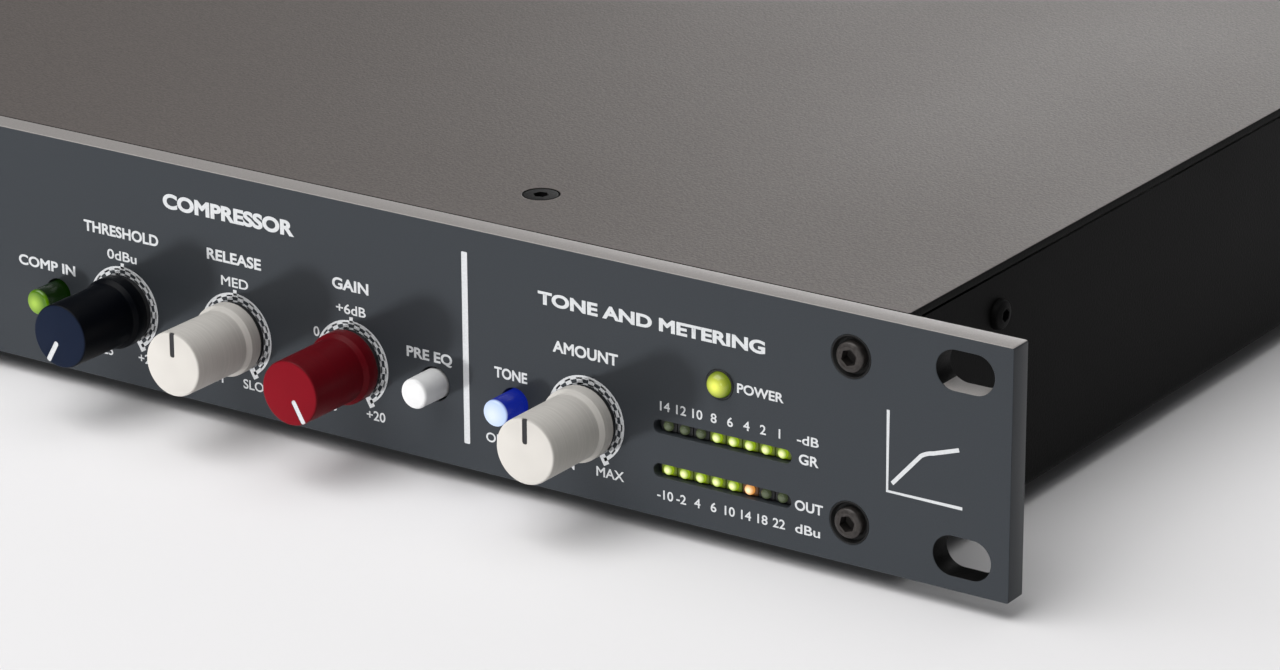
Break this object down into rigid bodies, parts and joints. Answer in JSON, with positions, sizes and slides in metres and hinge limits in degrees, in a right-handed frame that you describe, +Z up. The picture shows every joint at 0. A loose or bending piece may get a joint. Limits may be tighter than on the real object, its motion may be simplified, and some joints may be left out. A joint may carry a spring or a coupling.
{
  "type": "rack compressor",
  "caption": "Flat rack-mount audio processor: dark ear panel with a row of turned knobs, push buttons, lit bar meters and a sheet-metal case.",
  "frame": {"origin": "centre of the resting plane under the feet, halfway across the width and halfway through the overall depth", "axes": "+X to the right seen from the front, +Y from the front panel to the back, +Z up"},
  "size_m": [0.4826, 0.267, 0.047],
  "materials": {
    "panel": "satin dark grey paint with a fine grain, printed white marks",
    "cover": "fine-textured taupe powder coat",
    "case_black": "fine-textured black powder coat",
    "screw": "black oxide",
    "knob_cream": "satin warm white with a turned face",
    "knob_red": "satin deep red",
    "knob_navy": "satin dark navy",
    "shaft": "turned",
    "button_white": "satin",
    "button_lit_green": "translucent, lit from inside",
    "button_lit_blue": "translucent, lit from inside",
    "green_lens": "clear tinted dome, lit",
    "meter_lens": "small diffused lenses, some lit",
    "bare_aluminium": "as extruded",
    "rubber_foot": "matt",
    "circuit_board": "green solder mask",
    "transformer_winding": "wrapped in amber film",
    "screening_can": "drawn can",
    "connector_black": "fine mould texture",
    "rocker_black": "glossy"
  },
  "bodies": {
    "case": {"front_panel": "panel", "panel_screw_left_upper": "screw", "panel_screw_left_lower": "screw", "panel_screw_right_upper": "screw", "panel_screw_right_lower": "screw", "power_led": "green_lens", "gain_reduction_meter": "meter_lens", "output_meter": "meter_lens", "base_tray": "case_black", "top_cover": "cover", "front_rail": "bare_aluminium", "rear_panel": "case_black", "cover_screw_left_front": "screw", "cover_screw_left_back": "screw", "cover_screw_right_front": "screw", "cover_screw_right_back": "screw", "side_screw_left": "screw", "side_screw_right": "screw", "foot_left_front": "rubber_foot", "foot_left_back": "rubber_foot", "foot_right_front": "rubber_foot", "foot_right_back": "rubber_foot", "control_board": "circuit_board", "main_board": "circuit_board", "mains_transformer": "transformer_winding", "input_transformer": "screening_can", "output_transformer": "screening_can", "mic_input_socket": "connector_black", "line_input_socket": "connector_black", "output_connector": "connector_black", "power_inlet": "connector_black", "power_switch_housing": "connector_black"},
    "input_gain_knob": {"input_gain_knob": "knob_red", "input_gain_shaft": "shaft"},
    "trim_knob": {"trim_knob": "knob_cream", "trim_shaft": "shaft"},
    "filter_knob": {"filter_knob": "knob_navy", "filter_shaft": "shaft"},
    "low_knob": {"low_knob": "knob_navy", "low_shaft": "shaft"},
    "mid_knob": {"mid_knob": "knob_cream", "mid_shaft": "shaft"},
    "high_knob": {"high_knob": "knob_cream", "high_shaft": "shaft"},
    "threshold_knob": {"threshold_knob": "knob_navy", "threshold_shaft": "shaft"},
    "release_knob": {"release_knob": "knob_cream", "release_shaft": "shaft"},
    "makeup_gain_knob": {"makeup_gain_knob": "knob_red", "makeup_gain_shaft": "shaft"},
    "amount_knob": {"amount_knob": "knob_cream", "amount_shaft": "shaft"},
    "phantom_button": {"phantom_button": "button_lit_green"},
    "line_button": {"line_button": "button_white"},
    "eq_in_button": {"eq_in_button": "button_lit_green"},
    "high_peak_button": {"high_peak_button": "button_white"},
    "comp_in_button": {"comp_in_button": "button_lit_green"},
    "pre_eq_button": {"pre_eq_button": "button_white"},
    "tone_button": {"tone_button": "button_lit_blue"},
    "power_rocker": {"power_rocker": "rocker_black"}
  },
  "joints": [
    {"name": "input_gain_turn", "type": "hinge", "parent": "case", "child": "input_gain_knob", "pos_m": [-0.1541, -0.11577, 0.0176], "axis": [0, 1, 0], "range_deg": [-150, 150]},
    {"name": "trim_turn", "type": "hinge", "parent": "case", "child": "trim_knob", "pos_m": [-0.1287, -0.11577, 0.0176], "axis": [0, 1, 0], "range_deg": [-150, 150]},
    {"name": "filter_turn", "type": "hinge", "parent": "case", "child": "filter_knob", "pos_m": [-0.1033, -0.11577, 0.0176], "axis": [0, 1, 0], "range_deg": [-150, 150]},
    {"name": "low_turn", "type": "hinge", "parent": "case", "child": "low_knob", "pos_m": [-0.0471, -0.11577, 0.0176], "axis": [0, 1, 0], "range_deg": [-150, 150]},
    {"name": "mid_turn", "type": "hinge", "parent": "case", "child": "mid_knob", "pos_m": [-0.0217, -0.11577, 0.0176], "axis": [0, 1, 0], "range_deg": [-150, 150]},
    {"name": "high_turn", "type": "hinge", "parent": "case", "child": "high_knob", "pos_m": [0.0037, -0.11577, 0.0176], "axis": [0, 1, 0], "range_deg": [-150, 150]},
    {"name": "threshold_turn", "type": "hinge", "parent": "case", "child": "threshold_knob", "pos_m": [0.0599, -0.11577, 0.0176], "axis": [0, 1, 0], "range_deg": [0, 300]},
    {"name": "release_turn", "type": "hinge", "parent": "case", "child": "release_knob", "pos_m": [0.0853, -0.11577, 0.0176], "axis": [0, 1, 0], "range_deg": [-150, 150]},
    {"name": "makeup_gain_turn", "type": "hinge", "parent": "case", "child": "makeup_gain_knob", "pos_m": [0.1107, -0.11577, 0.0176], "axis": [0, 1, 0], "range_deg": [-300, 0]},
    {"name": "amount_turn", "type": "hinge", "parent": "case", "child": "amount_knob", "pos_m": [0.1596, -0.11577, 0.0176], "axis": [0, 1, 0], "range_deg": [-150, 150]},
    {"name": "phantom_press", "type": "slide", "parent": "case", "child": "phantom_button", "axis": [0, 1, 0], "range_m": [0, 0.0015], "stiffness_N_per_m": 300},
    {"name": "line_press", "type": "slide", "parent": "case", "child": "line_button", "axis": [0, 1, 0], "range_m": [0, 0.0015], "stiffness_N_per_m": 300},
    {"name": "eq_in_press", "type": "slide", "parent": "case", "child": "eq_in_button", "axis": [0, 1, 0], "range_m": [0, 0.0015], "stiffness_N_per_m": 300},
    {"name": "high_peak_press", "type": "slide", "parent": "case", "child": "high_peak_button", "axis": [0, 1, 0], "range_m": [0, 0.0015], "stiffness_N_per_m": 300},
    {"name": "comp_in_press", "type": "slide", "parent": "case", "child": "comp_in_button", "axis": [0, 1, 0], "range_m": [0, 0.0015], "stiffness_N_per_m": 300},
    {"name": "pre_eq_press", "type": "slide", "parent": "case", "child": "pre_eq_button", "axis": [0, 1, 0], "range_m": [0, 0.0015], "stiffness_N_per_m": 300},
    {"name": "tone_press", "type": "slide", "parent": "case", "child": "tone_button", "axis": [0, 1, 0], "range_m": [0, 0.0015], "stiffness_N_per_m": 300},
    {"name": "power_rock", "type": "hinge", "parent": "case", "child": "power_rocker", "pos_m": [0.148, 0.13063, 0.02513], "axis": [1, 0, 0], "range_deg": [-18, 0]}
  ]
}
